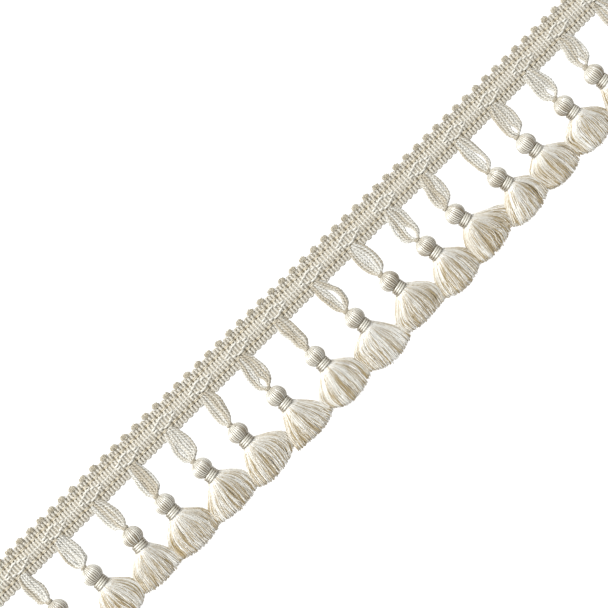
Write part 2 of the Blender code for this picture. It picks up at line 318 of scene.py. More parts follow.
def ground_finish():
    """Fine plain weave in tan, and brown where the binding warps hold it down."""
    cloth = Finish(bpy.data.materials.new("ground_web"))
    space = cloth.node("ShaderNodeTexCoord").outputs["Object"]
    lines = [cloth.node("ShaderNodeTexWave", {"wave_type": "BANDS", "bands_direction": way},
                        {"Vector": space, "Scale": WEAVE_SCALE, "Distortion": WEAVE_UNEVEN})
             for way in "XY"]
    warp, weft = (Number(cloth, line.outputs["Fac"]) for line in lines)
    weave = (warp + weft) * 0.5
    colour = cloth.blend(weave, WEB_SHADED, WEB_TAN)
    colour = cloth.blend(cloth.attribute("tint"), colour, WEB_BROWN)
    cloth.join(cloth.shader, {"Base Color": colour, "Roughness": 0.9,
                              "Normal": cloth.bump(weave, 0.5, 0.1 * MM)})
    return cloth.owner


def make_ground():
    low = placed((place_along(GROUND_END_STEPS), GROUND_LOW, 0))
    high = placed((place_along(STEPS - GROUND_END_STEPS), GROUND_HIGH, 0))
    size, middle = high - low, (high + low) / 2
    bpy.ops.mesh.primitive_grid_add(x_subdivisions=STEPS, y_subdivisions=GROUND_ROWS, size=1.0,
                                    location=(middle[0], middle[1], 0.0))
    ground = bpy.context.object
    ground.name = "ground_cloth"
    ground.scale = (size[0], size[1], 1.0)
    bpy.ops.object.transform_apply(location=True, rotation=True, scale=True)
    places = vertices_of(ground.data)
    across = places[:, 1] / MM - ORIGIN[1]
    places[:, 2] = drawn(GROUND_HEIGHTS, across) * MM
    move_vertices(ground.data, places)
    give_values(ground.data, "tint", near_binding(across, BROWN_WIDTH))
    solid = ground.modifiers.new("thickness", "SOLIDIFY")
    solid.thickness = GROUND_THICK * MM
    bpy.ops.object.modifier_apply(modifier=solid.name)
    finish_piece(ground, ground_finish())
    bpy.ops.object.select_all(action="DESELECT")


make_ground()


# Weft of the heading. One long two-ply cord of ivory rayon goes up and down across the web as
# close ribs. It turns in a small scallop at the lower edge, and at the upper edge every second
# turn is drawn out as a picot.

rng = np.random.default_rng(18)
WEFT_RADIUS = 0.56
WEFT_TWIST = 2.3
WEFT_WARMTH = 0.12
LOWER_TURN = -6.00
UPPER_TURN = 5.95
TURN_DEPTH = 0.42
TURN_SQUARE = 0.62
TURN_SINK = 0.20
# The lower turns on both sides of a loop are higher up and lie deep, hidden under its cords.
NOTCH_TURN = -3.75
NOTCH_SINK = 0.10
RIB_POINTS = 33
NOTCH_RIB_POINTS = 29
PICOT_STEPS = range(3, STEPS, 4)
PICOT_FROM = 6.0
PICOT_FADE = 0.8
PICOT_WARMTH = 0.65
PICOT_SHADE = 0.10
# Where the painted shade on the scallops' outer side begins, how far it fades in, and how dark it
# is.
EDGE_LOW = -6.50
EDGE_FADE = 0.35
EDGE_SHADE = 0.75
BIND_WIDTH = 0.5
BIND_SQUEEZE = 0.32
# How high the cord's middle lies across the heading, as (place across, height).
WEFT_HEIGHTS = ((-6.4, 0.85), (-5.6, 1.12), (-4.7, 1.25), (-3.8, 1.10), (-3.05, 0.88),
                (-2.3, 1.35), (-1.4, 1.62), (0.0, 1.60), (1.6, 1.62), (2.9, 1.38),
                (3.7, 0.88), (4.4, 1.15), (5.1, 1.22), (5.9, 1.12), (6.7, 0.95))
# A picot's middle line from the gap between its two ribs, as (to the side, across, height).
PICOT_LINE = ((-0.77, 5.95, 1.20), (-0.98, 6.20, 1.15), (-1.22, 6.60, 1.15),
              (-1.22, 7.10, 1.20), (-0.82, 7.60, 1.25), (0.00, 7.80, 1.22),
              (0.82, 7.58, 1.12), (1.22, 7.08, 1.02), (1.22, 6.60, 0.98),
              (0.98, 6.20, 1.05), (0.77, 5.95, 1.20))
PICOT_POINTS = 19
PLAIN_POINTS = 9
# Section of a two-ply cord, as (degrees round it, share of its radius): two lobes and grooves.
TWO_PLY = ((0, 1.0), (40, 0.96), (90, 0.76), (140, 0.96), (180, 1.0), (220, 0.96),
           (270, 0.76), (320, 0.96))
# A face's corners, as (rings on, sides on).
FACE_CORNERS = ((0, 0), (1, 0), (1, 1), (0, 1))
# The map to bake through: its name, rings to a cell, and share of a cell used.
BAKE_MAP = "OFBake"
BAKE_ROWS = 32
BAKE_USED = 0.92
FIBRE_SLANT = 0.55
FINE_CLOUDS = 900.0
BROAD_CLOUDS = 90.0


def unit(vectors):
    return vectors / np.maximum(np.linalg.norm(vectors, axis=-1, keepdims=True), 1e-12)


def points_of(along, across, height):
    """Points from their three places, any of which may be one number for all."""
    return np.stack(np.broadcast_arrays(along, across, height), -1)


def arc_lengths(paths):
    steps = np.linalg.norm(np.diff(paths, axis=-2), axis=-1)
    return np.concatenate([np.zeros(steps.shape[:-1] + (1,)), np.cumsum(steps, axis=-1)], axis=-1)


def section_of(table):
    degrees, share = np.array(table, float).T
    turned = np.radians(degrees)
    return np.stack([np.cos(turned) * share, np.sin(turned) * share], axis=-1)


def ways_across(paths):
    """Two ways across each yarn at each point, carried along it with no twist of their own."""
    ahead = unit(np.gradient(paths, axis=1))
    rise = np.empty_like(paths)
    rise[:, 0] = (0.0, 0.0, 1.0)
    for index in range(paths.shape[1]):
        before = rise[:, max(index - 1, 0)]
        now = ahead[:, index]
        rise[:, index] = unit(before - now * (before * now).sum(-1, keepdims=True))
    return np.cross(ahead, rise), rise


class Skein:
    """Yarns gathered for one piece. Each is a closed tube swept along its own path."""

    def __init__(self):
        self.points, self.corners, self.sizes = [], [], []
        self.yarn_map, self.bake_cells, self.tints, self.lights = [], [], [], []
        self.count, self.cells = 0, 0

    def add(self, paths, radii, section, turns=0.0, tint=0.0, light=0.0, groove=(0.0, 0.0)):
        """Sweeps a section along each path. paths is yarns by points by 3, or one path.

        The numbers after it are one for all, or one for each point. groove is what a full
        depth of the section adds to tint and to light: painted shade in its grooves.
        """
        paths = np.reshape(paths, (-1, *np.shape(paths)[-2:])).astype(float)
        radii, turns, tint, light = (np.broadcast_to(values, paths.shape[:2])
                                     for values in (radii, turns, tint, light))
        side, rise = ways_across(paths)
        cos, sin = np.cos(turns)[..., None], np.sin(turns)[..., None]
        flat = section[:, 0] * cos - section[:, 1] * sin
        tall = section[:, 0] * sin + section[:, 1] * cos
        rings = (paths[:, :, None] + radii[..., None, None]
                 * (flat[..., None] * side[:, :, None] + tall[..., None] * rise[:, :, None]))
        self.points.append(rings.reshape(-1, 3))
        depth = 1 - np.linalg.norm(section, axis=1)
        self.tints.append((tint.reshape(-1, 1) + depth * groove[0]).ravel())
        self.lights.append((light.reshape(-1, 1) + depth * groove[1]).ravel())
        self.add_faces(paths, len(section))

    def add_faces(self, paths, sides):
        """The faces between the rings, a cap at each end, and both maps."""
        yarns, length = paths.shape[:2]
        each = np.zeros((yarns, length - 1, sides))
        ring, around = np.arange(length - 1)[:, None], np.arange(sides)
        base = self.count + np.arange(yarns)[:, None, None] * length * sides
        quads = np.stack([base + (ring + on) * sides + (around + by) % sides
                          for on, by in FACE_CORNERS], -1)
        run = arc_lengths(paths)[:, :, None]
        runs = (run[:, :-1] + each, run[:, 1:] + each)
        turned = (around / sides + each, (around + 1) / sides + each)
        # On the map to bake through, each BAKE_ROWS rings of a yarn have a cell of their own.
        cells = -(-(length - 1) // BAKE_ROWS)
        cell = self.cells + np.arange(yarns)[:, None, None] * cells + ring // BAKE_ROWS + each
        row = (ring % BAKE_ROWS) / BAKE_ROWS + each
        rows = (row, row + 1 / BAKE_ROWS)
        yarn_map = [np.stack([turned[by], runs[on]], -1) for on, by in FACE_CORNERS]
        bake_cells = [np.stack([cell, turned[by], rows[on]], -1) for on, by in FACE_CORNERS]

        starts = base[:, 0] + around
        caps = np.concatenate([starts, starts[:, ::-1] + (length - 1) * sides])
        cap_cell, cap_row = (np.repeat(np.concatenate([of[:, 0, 0], of[:, -1, 0]]), sides)
                             for of in (cell, row))
        self.corners += [quads.ravel(), caps.ravel()]
        self.sizes += [np.full(quads.size // 4, 4), np.full(len(caps), sides)]
        self.yarn_map += [np.stack(yarn_map, -2).reshape(-1, 2), np.zeros((caps.size, 2))]
        self.bake_cells += [np.stack(bake_cells, -2).reshape(-1, 3),
                            np.stack([cap_cell, np.full(caps.size, 0.5), cap_row], -1)]
        self.count += yarns * length * sides
        self.cells += yarns * cells

    def mesh(self, name):
        """The piece, with its tints, its lights, the map of its yarns and the map to bake."""
        points = placed(np.concatenate(self.points))
        corners = np.concatenate(self.corners).astype(np.int32)
        sizes = np.concatenate(self.sizes).astype(np.int32)
        made = bpy.data.meshes.new(name)
        made.vertices.add(len(points))
        made.vertices.foreach_set("co", points.astype(np.float32).ravel())
        made.loops.add(len(corners))
        made.loops.foreach_set("vertex_index", corners)
        made.polygons.add(len(sizes))
        starts = np.concatenate([[0], np.cumsum(sizes)[:-1]]).astype(np.int32)
        made.polygons.foreach_set("loop_start", starts)
        made.polygons.foreach_set("loop_total", sizes)
        made.update(calc_edges=True)
        give_values(made, "tint", np.concatenate(self.tints))
        give_values(made, "light", np.concatenate(self.lights))
        cell, across, down = np.concatenate(self.bake_cells).T
        wide = math.ceil(math.sqrt(self.cells))
        bake = np.stack([(cell % wide + (across - 0.5) * BAKE_USED + 0.5) / wide,
                         (cell // wide + (down - 0.5) * BAKE_USED + 0.5) / wide], -1)
        for label, places in (("yarn", np.concatenate(self.yarn_map)), (BAKE_MAP, bake)):
            layer = made.uv_layers.new(name=label)
            layer.uv.foreach_set("vector", places.astype(np.float32).ravel())
        made.uv_layers.active = made.uv_layers["yarn"]
        made.shade_smooth()
        made.validate()
        piece = bpy.data.objects.new(name, made)
        bpy.context.collection.objects.link(piece)
        return piece


def yarn_finish(name, pale, warm, shade, fibres, roughness, sheen):
    """Spun yarn: pale on its crests and warm by its tint, with fine slanting fibres.

    fibres is how many lie round the yarn, and shade how dark their gaps are. The light attribute
    dims the colour; it carries painted shade as well as tone that differs at random.
    """
    yarn = Finish(bpy.data.materials.new(name))
    places = yarn.node("ShaderNodeUVMap", {"uv_map": "yarn"}).outputs["UV"]
    parts = yarn.node("ShaderNodeSeparateXYZ", {}, {"Vector": places})
    around, along = (Number(yarn, parts.outputs[axis]) for axis in "XY")
    fibre = ((around + along * FIBRE_SLANT) * (fibres * math.tau)).sine() * 0.5 + 0.5
    fine = yarn.cloud(FINE_CLOUDS)
    broad = yarn.cloud(BROAD_CLOUDS, 2.0)
    tint = yarn.attribute("tint") + (fine - 0.5) * 0.5 + (broad - 0.5) * 0.3
    colour = yarn.blend(yarn.within(tint), pale, warm)
    dim = (1 - fibre) * shade - yarn.attribute("light") + (fine - 0.5) * 0.12
    colour = yarn.blend(yarn.within(dim), colour, [channel * 0.45 for channel in warm])
    yarn.join(yarn.shader, {
        "Base Color": colour, "Roughness": roughness, "Sheen Weight": sheen,
        "Sheen Roughness": 0.4, "Specular IOR Level": 0.4,
        "Normal": yarn.bump(fibre + fine * 0.5, 0.35, 0.06 * MM)})
    return yarn.owner


def pair_half(across):
    """Half the distance between a pair's two ribs, which the binding lines squeeze together."""
    return RIB / 2 - BIND_SQUEEZE * near_binding(across, BIND_WIDTH)


def beside_loop(step):
    """Whether the lower turn at an even step is hidden under a hanger loop's cords."""
    return (step - STEPS_A_REPEAT // 2) % STEPS_A_REPEAT in (1, STEPS_A_REPEAT - 1)


def picot_turn(middle):
    knots = np.array(PICOT_LINE)
    share = np.linspace(0, len(knots) - 1, PICOT_POINTS)[1:-1]
    turned = drawn(np.column_stack([np.arange(len(knots)), knots]), share)
    turned[:, 0] = turned[:, 0] * rng.uniform(0.94, 1.04) + middle
    turned[:, 1] = UPPER_TURN + (turned[:, 1] - UPPER_TURN) * rng.uniform(0.92, 1.03)
    return turned


def plain_turn(middle, start, side):
    """A turn from the end of a rib, nearly square, so that it fills its place at the edge."""
    angle = np.linspace(0, math.pi, PLAIN_POINTS)[1:-1]
    aside = np.sign(np.cos(angle)) * np.abs(np.cos(angle)) ** TURN_SQUARE
    return points_of(middle - aside * pair_half(start[1]),
                     start[1] + side * np.sin(angle) * TURN_DEPTH,
                     start[2] - TURN_SINK * np.sin(angle))


def weft_path():
    """The middle line of the whole weft, rib by rib. Every second rib goes upwards."""
    line = []
    for rib in range(STEPS):
        side = 1 if rib % 2 == 0 else -1
        pair_step = rib if side > 0 else rib + 1
        hidden = beside_loop(pair_step)
        low = (NOTCH_TURN if hidden else LOWER_TURN) + rng.uniform(-0.08, 0.08)
        across = np.linspace(low, UPPER_TURN, NOTCH_RIB_POINTS if hidden else RIB_POINTS)
        along = place_along(pair_step) + side * pair_half(across)
        along = along + rng.uniform(-0.05, 0.05) * np.sin((across - low) * 0.6)
        height = drawn(WEFT_HEIGHTS, across) + rng.uniform(-0.05, 0.05)
        if hidden:
            height = height - NOTCH_SINK * np.exp(-(across - low) ** 2)
        line.append(points_of(along, across, height)[::side])
        turn_step = rib + 1
        if turn_step in PICOT_STEPS:
            line.append(picot_turn(place_along(turn_step)))
        elif turn_step < STEPS:
            line.append(plain_turn(place_along(turn_step), line[-1][-1], side))
    return np.concatenate(line)


def make_weft():
    path = weft_path()
    run = arc_lengths(path)
    picot = np.clip((path[:, 1] - PICOT_FROM) / PICOT_FADE, 0, 1)
    skein = Skein()
    # groove paints the cord darker and warmer in the grooves between its plies: painted shade.
    skein.add(path, WEFT_RADIUS * (1 + 0.06 * np.sin(run * 1.7)), section_of(TWO_PLY),
              turns=run / WEFT_TWIST * math.tau, tint=WEFT_WARMTH + PICOT_WARMTH * picot,
              light=0.04 * np.sin(run * 0.9) - PICOT_SHADE * picot, groove=(1.1, -0.25))
    # The outer side of the scallops is painted darker: painted shade.
    below = np.clip((EDGE_LOW - skein.points[0][:, 1]) / EDGE_FADE, 0, 1)
    skein.lights[0] -= EDGE_SHADE * below
    finish = yarn_finish("weft_rayon", pale=(0.65, 0.63, 0.565), warm=(0.47, 0.41, 0.30),
                         shade=0.14, fibres=4, roughness=0.55, sheen=0.25)
    finish_piece(skein.mesh("weft_cord"), finish, ["heading"])


make_weft()


# Picot knots. Each picot is filled with a thin cotton thread coiled up in two humps, duller
# and browner than the weft that runs round it. Loose fibre ends stand out of it.

KNOT_MIDDLE = 6.98
KNOT_HEIGHT = 1.55
KNOT_RADIUS = 0.22
KNOT_TURNS = 3.0
KNOT_APART = 0.72
KNOT_POINTS = 30
KNOT_LONG = 1.15
KNOT_CROWN = 0.30
KNOT_SLOPE = 0.45
# The coil's radius at its inner end, and how much wider its outer end is.
COIL_INNER, COIL_WIDENS = 0.10, 0.86
HAIRS = 24
HAIR_RADIUS = 0.09
# How far out of the knot's middle a hair's points are, and how much of its bend each takes.
HAIR_REACH = np.array((0.9, 1.3, 1.75))
HAIR_BEND = np.array((0.0, 0.15, 0.4))


def round_section(sides):
    return section_of([(360.0 * side / sides, 1.0) for side in range(sides)])


def make_knots():
    steps = np.array(PICOT_STEPS)
    one, each = (len(steps), 1), (len(steps), KNOT_POINTS)
    middle = place_along(steps)[:, None]
    share = np.linspace(0, 1, KNOT_POINTS)
    skein = Skein()
    for side in (-1, 1):
        turn = (share - 1) * KNOT_TURNS * math.tau - math.pi / 2
        turn = side * turn + rng.uniform(-0.5, 0.5, one)
        out = COIL_INNER + COIL_WIDENS * share + rng.uniform(-0.08, 0.08, each)
        hump = middle + side * KNOT_APART * rng.uniform(0.8, 1.1, one)
        paths = points_of(
            hump + np.cos(turn) * out,
            KNOT_MIDDLE + rng.uniform(-0.15, 0.2, one) + np.sin(turn) * out * KNOT_LONG,
            KNOT_HEIGHT + KNOT_CROWN - KNOT_SLOPE * share ** 2 + 0.14 * np.sin(turn * 2.3))
        skein.add(paths, KNOT_RADIUS, round_section(5), tint=rng.uniform(0.3, 1.0, each),
                  light=rng.uniform(-0.25, 0.05, each))
    for _ in range(HAIRS):
        angle = rng.uniform(-0.3, math.pi + 0.3, one)
        reach = HAIR_REACH + rng.uniform(-0.2, 0.25, one)
        bend = angle + HAIR_BEND * rng.uniform(-1, 1, one)
        paths = points_of(middle + np.cos(bend) * reach * KNOT_LONG,
                          KNOT_MIDDLE - 0.2 + np.sin(bend) * reach,
                          KNOT_HEIGHT + rng.uniform(-0.7, 0.2, one))
        skein.add(paths, HAIR_RADIUS, round_section(3), tint=0.45)
    finish = yarn_finish("picot_cotton", pale=(0.70, 0.67, 0.58), warm=(0.40, 0.345, 0.24),
                         shade=0.2, fibres=3, roughness=0.8, sheen=0.3)
    finish_piece(skein.mesh("picot_knots"), finish, ["heading"])


make_knots()


# Binding warps. Two pairs of thin tan threads run along the heading near its edges. Each goes
# over a pair of ribs and dives into the dimple beside it, and so pulls the ribs together.

BINDING_RADIUS = 0.32
BINDING_APART = 0.58
BINDING_TOP = 1.72
BINDING_DIVE = 0.90
BINDING_WARMTH = 0.42
DIVE_WARMTH = 0.9
DIVE_SHADE = 1.1
BINDING_END_STEPS = 0.25
BINDING_POINTS_A_STEP = 4


def make_binding_warps():
    steps = np.linspace(BINDING_END_STEPS, STEPS - BINDING_END_STEPS,
                        STEPS * BINDING_POINTS_A_STEP)
    along = place_along(steps)
    # 1 over the middle of a pair, 0 in the dimple, with a broad crest and a narrow dive.
    over = np.cos(steps * math.pi / 2) ** 2
    over = 1 - (1 - over) ** 2
    paths, tints = [], []
    for line in (UPPER_BIND, LOWER_BIND):
        for side in (-1, 1):
            # The two threads of a pair draw together where they dive.
            across = line + side * BINDING_APART / 2 * (0.35 + 0.65 * over)
            height = BINDING_TOP - BINDING_DIVE * (1 - over) + rng.normal(0, 0.015, len(steps))
            paths.append(points_of(along, across, height))
            tints.append(BINDING_WARMTH + DIVE_WARMTH * (1 - over)
                         + 0.15 * np.sin(along * 0.7 + side))
    skein = Skein()
    skein.add(paths, BINDING_RADIUS, round_section(6), tint=tints,
              light=0.08 - DIVE_SHADE * (1 - over) ** 2)
    finish = yarn_finish("binding_cotton", pale=(0.64, 0.608, 0.52), warm=(0.49, 0.42, 0.29),
                         shade=0.15, fibres=3, roughness=0.7, sheen=0.2)
    finish_piece(skein.mesh("binding_warps"), finish, ["heading"])


make_binding_warps()


# Pattern warps. Two bright threads run along the heading's middle, over one rib and under the
# next. Above each tassel they part into a lozenge, floating over the ribs in slanted lengths.

PATTERN_END_STEPS = 0.4
PATTERN_POINTS_A_STEP = 7
LOZENGE_HALF_STEPS = 4.05
LOZENGE_FADE = 0.6
LOZENGE_LIFT = 0.15
FLOAT_RADIUS = 0.48
CENTRE_RADIUS = 0.25
CENTRE_APART = 0.2
CENTRE_LIFT = 0.15
CENTRE_DIVE = 0.60
RIB_TOP = 1.80
# Each float from the lozenge's middle, as (steps away where it ends, place above, below).
FLOATS = ((1.05, 2.05, 2.25), (2.50, 1.40, 1.45), (4.05, 0.65, 0.60))
# How many steps a float takes to slant to the next one, its dive under a rib between them and
# how much thinner it is there, and how far its middle is above the ribs, in its own radii.
FLOAT_SLANT = 0.85
FLOAT_END = 0.22
FLOAT_DIVE = 1.0
FLOAT_THINNED = 0.8
FLOAT_ABOVE = 0.70


def make_pattern_warps():
    steps = np.linspace(PATTERN_END_STEPS, STEPS - PATTERN_END_STEPS,
                        STEPS * PATTERN_POINTS_A_STEP)
    along = place_along(steps)
    nearest = np.round(steps / STEPS_A_REPEAT - 0.5 - 0.5 / STEPS_A_REPEAT)
    nearest = np.clip(nearest, 0, COUNT - 1)
    away = np.abs(steps - (nearest * STEPS_A_REPEAT + STEPS_A_REPEAT / 2 + 0.5))
    inside = np.clip((LOZENGE_HALF_STEPS - away) / LOZENGE_FADE + 0.5, 0, 1)
    over = 0.5 + 0.5 * np.cos((steps - 0.5) * math.pi)
    ends, above, below = np.array(FLOATS).T
    dives = sum(np.exp(-((away - end) / FLOAT_END) ** 2) for end in ends)
    floats = RIB_TOP + FLOAT_RADIUS * FLOAT_ABOVE - FLOAT_DIVE * dives
    paths = []
    for side, levels, under in ((1, above, 1 - over), (-1, below, over)):
        across = np.full(len(steps), levels[0])
        for end, drop in zip(ends, -np.diff(np.append(levels, CENTRE_APART))):
            across = across - drop * np.clip((away - end) / FLOAT_SLANT + 0.5, 0, 1)
        centre = RIB_TOP + CENTRE_LIFT - CENTRE_DIVE * under
        height = floats * inside + centre * (1 - inside)
        paths.append(points_of(along, side * across + LOZENGE_LIFT, height))
    thicker = inside * (1 - FLOAT_THINNED * dives)
    radii = CENTRE_RADIUS + (FLOAT_RADIUS - CENTRE_RADIUS) * thicker
    skein = Skein()
    skein.add(paths, radii, round_section(6), tint=0.05 + 0.10 * (1 - inside), light=0.05)
    finish = yarn_finish("pattern_floss", pale=(0.66, 0.645, 0.585), warm=(0.60, 0.53, 0.40),
                         shade=0.12, fibres=4, roughness=0.42, sheen=0.25)
    finish_piece(skein.mesh("pattern_warps"), finish, ["heading"])


make_pattern_warps()


# Hanger loops. Below each lozenge eight two-ply cords leave the heading under its binding line.
# They hang as two legs of four and are gathered and tied on top of the ball.

# How far each loop is from its tassel's even place, at the heading.
LOOP_SHIFTS = (0.50, 0.87, 0.41, -0.20, -0.24, -0.62, -1.00, -0.85, -0.59,
               0.00, 0.71, 1.12, 0.73, 0.72, 0.40, -0.20, -0.42, -0.60)
LOOP_MIDDLES = HOMES + LOOP_SHIFTS - RIB / 2
# Each loop's outline to the left and the right of its tassel's even place, at three heights,
# then its ball's middle and lean in degrees, and how wide its window is, where and how long.
# A window less than 0 wide is closed.
LOOP_COLUMNS = ("left_high", "left", "left_low", "right_high", "right", "right_low",
                "ball_x", "ball_y", "lean", "eye", "eye_x", "eye_y", "eye_half")
LOOPS = [dict(zip(LOOP_COLUMNS, row)) for row in (
    (-3.9, -3.8, -3.2, 3.3, 3.8, 2.8, 0.2, -24.2, 3, -0.5, 0.0, -13.0, 3.0),
    (-3.9, -3.8, -3.1, 3.3, 3.9, 2.6, 1.2, -23.9, 2, -0.5, 0.1, -13.0, 3.0),
    (-4.7, -4.9, -3.8, 3.6, 4.1, 3.0, -0.5, -23.9, 5, -0.5, 0.0, -13.0, 3.0),
    (-4.3, -4.3, -3.2, 3.4, 4.0, 3.5, 0.6, -24.4, -5, -0.5, 0.0, -13.0, 3.0),
    (-4.8, -5.8, -5.5, 2.7, 2.9, 2.1, -2.2, -24.3, 2, -0.5, -1.3, -13.0, 3.0),
    (-5.5, -7.0, -6.9, 2.6, 3.0, 2.3, -2.4, -24.8, 8, -0.5, -2.0, -13.0, 3.0),
    (-5.4, -5.9, -6.2, 2.3, 1.5, 0.3, -3.2, -25.0, 2, -0.5, -2.0, -13.0, 3.0),
    (-5.6, -6.8, -6.8, 3.0, 3.2, 2.5, -2.5, -25.5, 4, 1.8, -2.4, -17.6, 2.0),
    (-4.8, -3.7, -4.1, 2.8, 2.8, 2.6, -0.9, -25.2, 2, -0.5, -1.0, -13.0, 3.0),
    (-4.0, -3.7, -3.1, 4.0, 5.6, 5.1, 0.7, -25.7, 7, 1.5, 2.1, -13.2, 3.8),
    (-3.8, -4.0, -3.1, 4.9, 5.4, 4.8, 0.6, -25.1, 10, 0.3, 1.5, -12.0, 3.0),
    (-4.1, -5.2, -5.5, 5.1, 5.1, 4.5, 0.7, -25.6, 9, 2.3, 0.6, -16.8, 2.9),
    (-4.3, -5.6, -6.1, 4.1, 3.9, 2.4, -2.4, -24.7, 15, -0.5, -1.2, -13.0, 3.0),
    (-3.5, -3.8, -3.8, 3.9, 4.1, 3.9, -0.1, -26.3, 14, 1.0, 1.6, -15.9, 3.0),
    (-4.8, -5.5, -5.7, 4.1, 4.3, 3.4, -2.5, -24.9, 10, 1.5, -1.6, -17.3, 2.0),
    (-5.0, -5.4, -5.1, 3.5, 4.4, 3.4, -0.9, -24.9, 10, 1.6, -0.4, -17.0, 2.2),
    (-5.2, -6.2, -6.0, 3.5, 3.4, 1.5, -3.4, -24.5, 8, 1.5, -2.9, -16.9, 2.2),
    (-4.6, -5.0, -4.6, 3.3, 3.6, 2.6, -1.4, -24.6, 7, -0.5, -0.7, -13.0, 3.0),
)]
BALL_LIFT = 4.60
BALL_TOP = 4.2
POLE_GAP = 0.35
LOOP_RADIUS = 0.70
LOOP_TWIST = 2.9
LOOP_POINTS = 50
EASE_TIMES = 6
TIE_HALF = 1.1
CORDS_A_LEG = 4
LEGS_OVERLAP = 0.25
LEG_STEP = 0.15
CORD_WANDER = 0.21
CORD_RISE = 0.24
PARTING_REACH = 5.0
LEAST_ROOM = 0.4
TABLE_GAP = 0.03
# A cord that rides on its neighbours, and one under them, as shares of its radius.
RIDES, SINKS = 0.9, -0.45
CORD_TINTS = (-0.1, 0.1, 0.35, 0.65)


def head_middle(index):
    """The place of a ball's middle."""
    return np.array((HOMES[index] + LOOPS[index]["ball_x"], LOOPS[index]["ball_y"], BALL_LIFT))


def head_axes(index):
    """A ball's own axes as columns: X across it, Y up, and Z along it to the skirt."""
    lean = math.radians(LOOPS[index]["lean"])
    return np.array(((math.cos(lean), 0.0, math.sin(lean)),
                     (math.sin(lean), 0.0, -math.cos(lean)),
                     (0.0, 1.0, 0.0)))


def loop_stations(index):
    """Down the loop: place, outer left, outer right, parting, height and cord size."""
    row = LOOPS[index]
    middle = LOOP_MIDDLES[index]
    pole_x, pole_y, _ = head_middle(index) - head_axes(index)[:, 2] * (BALL_TOP + POLE_GAP)

    def edges(name, share=1.0, towards=pole_x):
        left, right = (HOMES[index] + row[side + name] for side in ("left", "right"))
        return [towards + (place - towards) * share for place in (left, right, (left + right) / 2)]

    def tied(share):
        return pole_x - TIE_HALF * share, pole_x + TIE_HALF * share, pole_x

    return (
        (-3.1, middle - 2.45, middle + 2.45, middle, 0.95, 0.85),
        (-4.3, middle - 2.90, middle + 2.90, middle, 1.25, 0.95),
        (-6.4, *edges("_high", 0.90, middle), 1.35, 1.0),
        (-8.6, *edges("_high"), 1.60, 1.0),
        (-12.6, *edges(""), 1.95, 1.0),
        (-15.4, *(np.add(edges(""), edges("_low")) / 2), 2.35, 1.0),
        (-17.3, *edges("_low", 0.97), 2.95, 1.0),
        (pole_y + 1.6, *edges("_low", 0.62), 3.55, 0.92),
        (pole_y + 0.8, *tied(1.0), 4.2, 0.72),
        (pole_y + 0.2, *tied(0.9), 4.5, 0.68),
        (pole_y - 0.5, *tied(1.1), 4.55, 0.65),
    )


def eased(lines):
    """The same lines down the loop with their small corners rounded off."""
    for _ in range(EASE_TIMES):
        lines[1:-1] = (lines[:-2] + 2 * lines[1:-1] + lines[2:]) / 4
    return lines


def loop_cords(index):
    """Each cord's path and tint, and the cords' radius on the way down."""
    row = LOOPS[index]
    stations = np.array(loop_stations(index))
    stations[:, 0] *= -1
    down = np.linspace(stations[0, 0], stations[-1, 0], LOOP_POINTS)
    outer_left, outer_right, split, height, size = eased(drawn(stations, down)).T
    radius = LOOP_RADIUS * size
    beside = -down - row["eye_y"]
    drift = np.exp(-(beside / PARTING_REACH) ** 2)
    split = split + (HOMES[index] + row["eye_x"] - split) * drift
    gap = row["eye"] * np.exp(-(beside / row["eye_half"]) ** 4) - LEGS_OVERLAP
    paths, tints = [], []
    for side, outer in ((-1, outer_left), (1, outer_right)):
        room = np.maximum(side * (outer - split) - gap / 2, LEAST_ROOM)
        reach = np.maximum(room - 2 * radius, 0.0)
        # Where there is no room side by side, every second cord rides on the others.
        crowd = np.clip(1 - reach / (2 * (CORDS_A_LEG - 1) * radius), 0, 1)
        for cord in range(CORDS_A_LEG):
            share = cord / (CORDS_A_LEG - 1)
            wander = rng.uniform(-CORD_WANDER, CORD_WANDER) * np.sin(
                down * rng.uniform(0.4, 0.7) + rng.uniform(0, 6))
            along = outer - side * (radius + reach * share) + wander
            rise = rng.uniform(-CORD_RISE, CORD_RISE) * np.sin(down * 0.5 + rng.uniform(0, 6))
            raised = crowd * radius * (RIDES if cord % 2 else SINKS) + rise
            lift = np.maximum(height + raised + LEG_STEP * side, radius + TABLE_GAP)
            paths.append(points_of(along, -down, lift))
            tints.append([rng.choice(CORD_TINTS)])
    return np.array(paths), np.array(tints), radius


def make_loops(finish):
    for index in range(COUNT):
        paths, tints, radius = loop_cords(index)
        phase = rng.uniform(0, 6, (len(paths), 1))
        skein = Skein()
        # groove paints each cord darker and warmer in the grooves between its plies: painted
        # shade.
        skein.add(paths, radius, section_of(TWO_PLY), tint=tints, light=0.04,
                  turns=arc_lengths(paths) / LOOP_TWIST * math.tau + phase, groove=(2.0, -1.0))
        loop = skein.mesh(f"hanger_loop_{index + 1:02d}")
        finish_piece(loop, finish, [f"loop_{index + 1:02d}"])


loop_rayon = yarn_finish("loop_rayon", pale=(0.65, 0.645, 0.60), warm=(0.43, 0.375, 0.275),
                         shade=0.30, fibres=3, roughness=0.5, sheen=0.2)
make_loops(loop_rayon)


# Ties. A beige thread is wound round each loop's gathered cords on top of the ball, and its
# ends lie over the ball's floss as a narrow fork.

TIE_RADIUS = 0.26
TIE_TURNS = 2.6
TIE_POINTS = 40
TIE_WIDE = 1.30
TIE_TALL = 1.15
TIE_UP = 0.75
TIE_HALF_LONG = 0.45
FORK_RADIUS = 0.20
FORK_POINTS = 12
FORK_OUT = 4.62
FORK_FLAT = 0.95
# How far the fork runs down the ball from its top, in degrees.
FORK_FROM, FORK_TO = 8, 50


def from_head(index, points):
    """Points in a ball's own axes, as places in the layout."""
    return points @ head_axes(index).T + head_middle(index)


